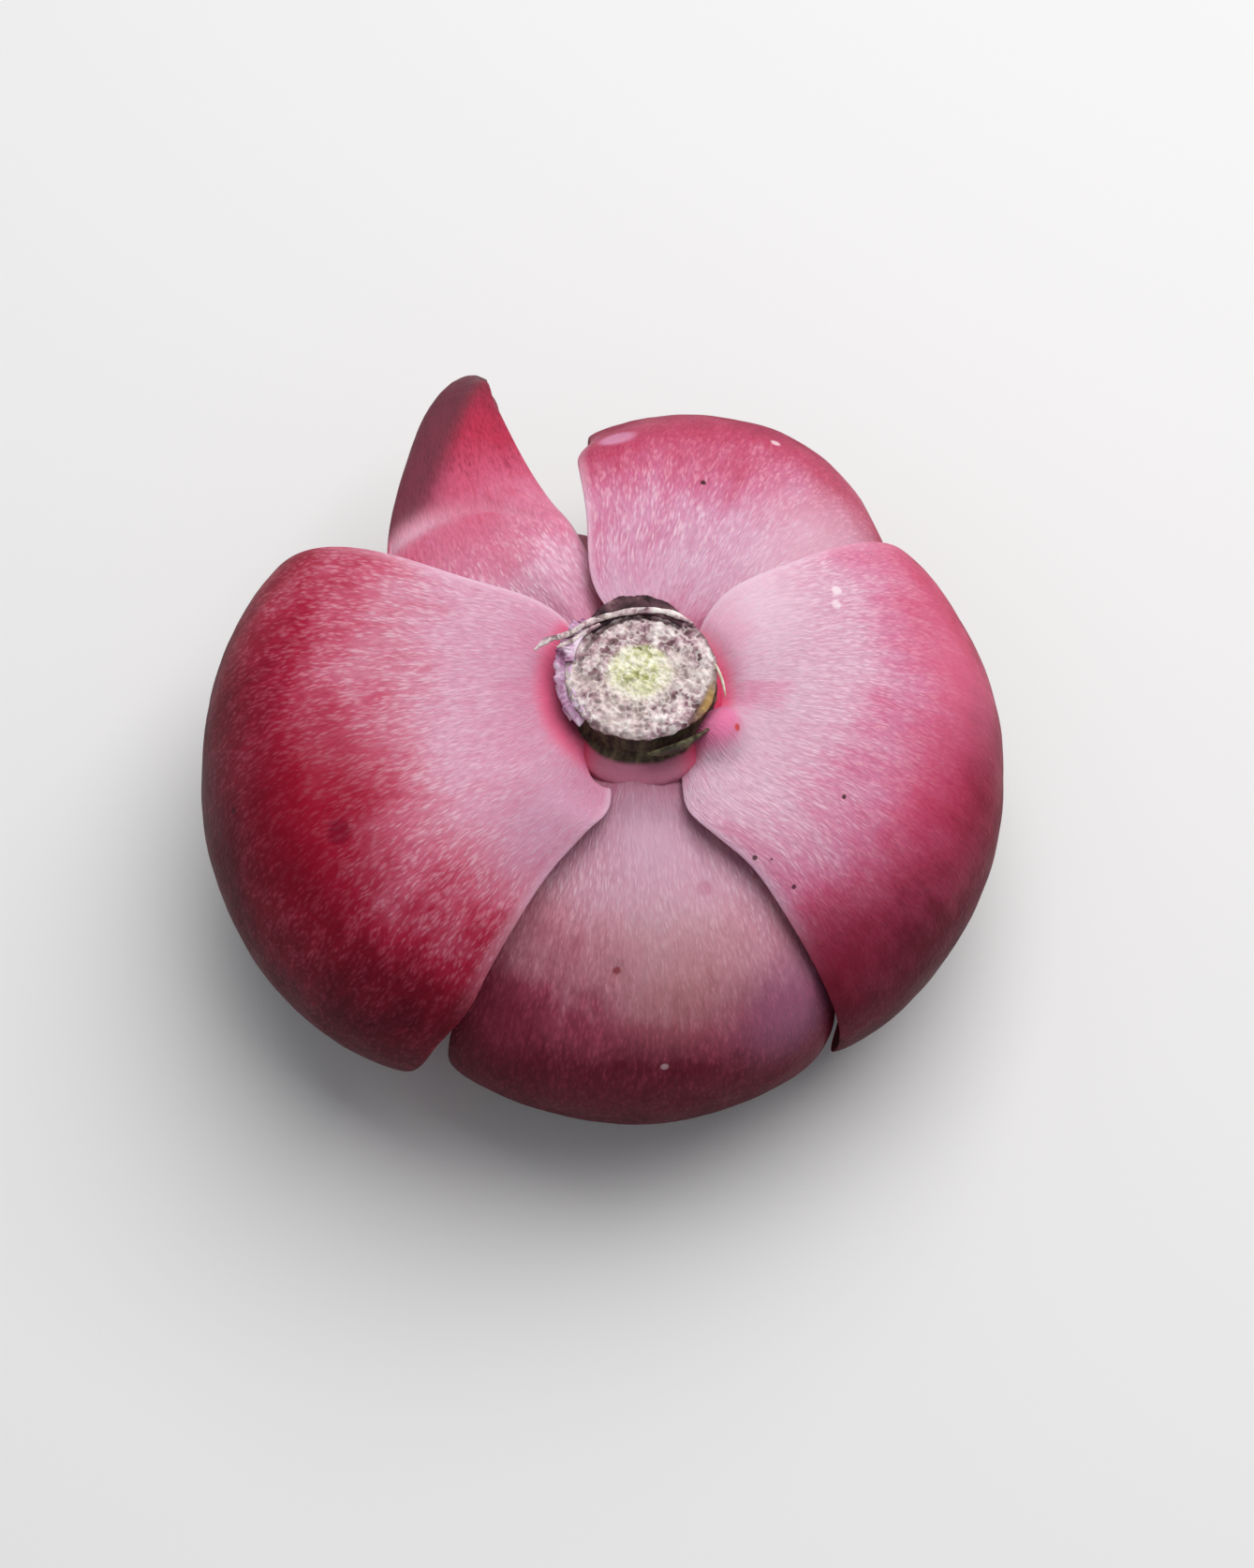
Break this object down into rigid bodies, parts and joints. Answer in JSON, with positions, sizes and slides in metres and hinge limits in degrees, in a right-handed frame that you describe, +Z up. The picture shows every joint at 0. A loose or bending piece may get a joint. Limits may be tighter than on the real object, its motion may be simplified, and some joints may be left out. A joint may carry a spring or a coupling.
{
  "type": "echeveria rosette cutting",
  "caption": "Cut rosette of a fleshy pink succulent, lying face down with its stem stump up, its broad leaves cupped round a tight spiral of smaller ones.",
  "frame": {"origin": "on the surface that the rosette lies on, at the middle of its footprint's box", "axes": "+Z up, from the leaf tips to the cut of the stem; +X along the longest side, away from the largest leaf; +Y towards the spread leaf and the far leaf"},
  "size_m": [0.0674, 0.0664, 0.0373],
  "materials": {
    "outer_leaf": "fleshy leaf skin, rose to crimson, pale at the base, satin with a waxy bloom and fine pale flecks",
    "inner_leaf": "fleshy leaf skin, dusky rose turning pale green towards the heart, waxy bloom",
    "stem_cut": "dried fibrous cut with a pale green pith and a mauve-grey corky rind, matt",
    "dry_scale": "dry dark brown leaf base, matt"
  },
  "bodies": {
    "root": {"stem": "stem_cut", "dry_leaf_base": "dry_scale", "leaf_right": "outer_leaf", "leaf_left": "outer_leaf", "leaf_far": "outer_leaf", "leaf_near": "outer_leaf", "leaf_spread": "outer_leaf", "leaf_06": "inner_leaf", "leaf_07": "inner_leaf", "leaf_08": "inner_leaf", "leaf_09": "inner_leaf", "leaf_10": "inner_leaf", "leaf_11": "inner_leaf", "leaf_12": "inner_leaf", "leaf_13": "inner_leaf", "leaf_14": "inner_leaf", "leaf_15": "inner_leaf", "leaf_16": "inner_leaf", "leaf_17": "inner_leaf", "leaf_18": "inner_leaf", "leaf_19": "inner_leaf", "leaf_20": "inner_leaf", "leaf_21": "inner_leaf", "leaf_22": "inner_leaf", "leaf_23": "inner_leaf", "leaf_24": "inner_leaf", "leaf_25": "inner_leaf", "leaf_26": "inner_leaf", "leaf_27": "inner_leaf"}
  },
  "joints": []
}
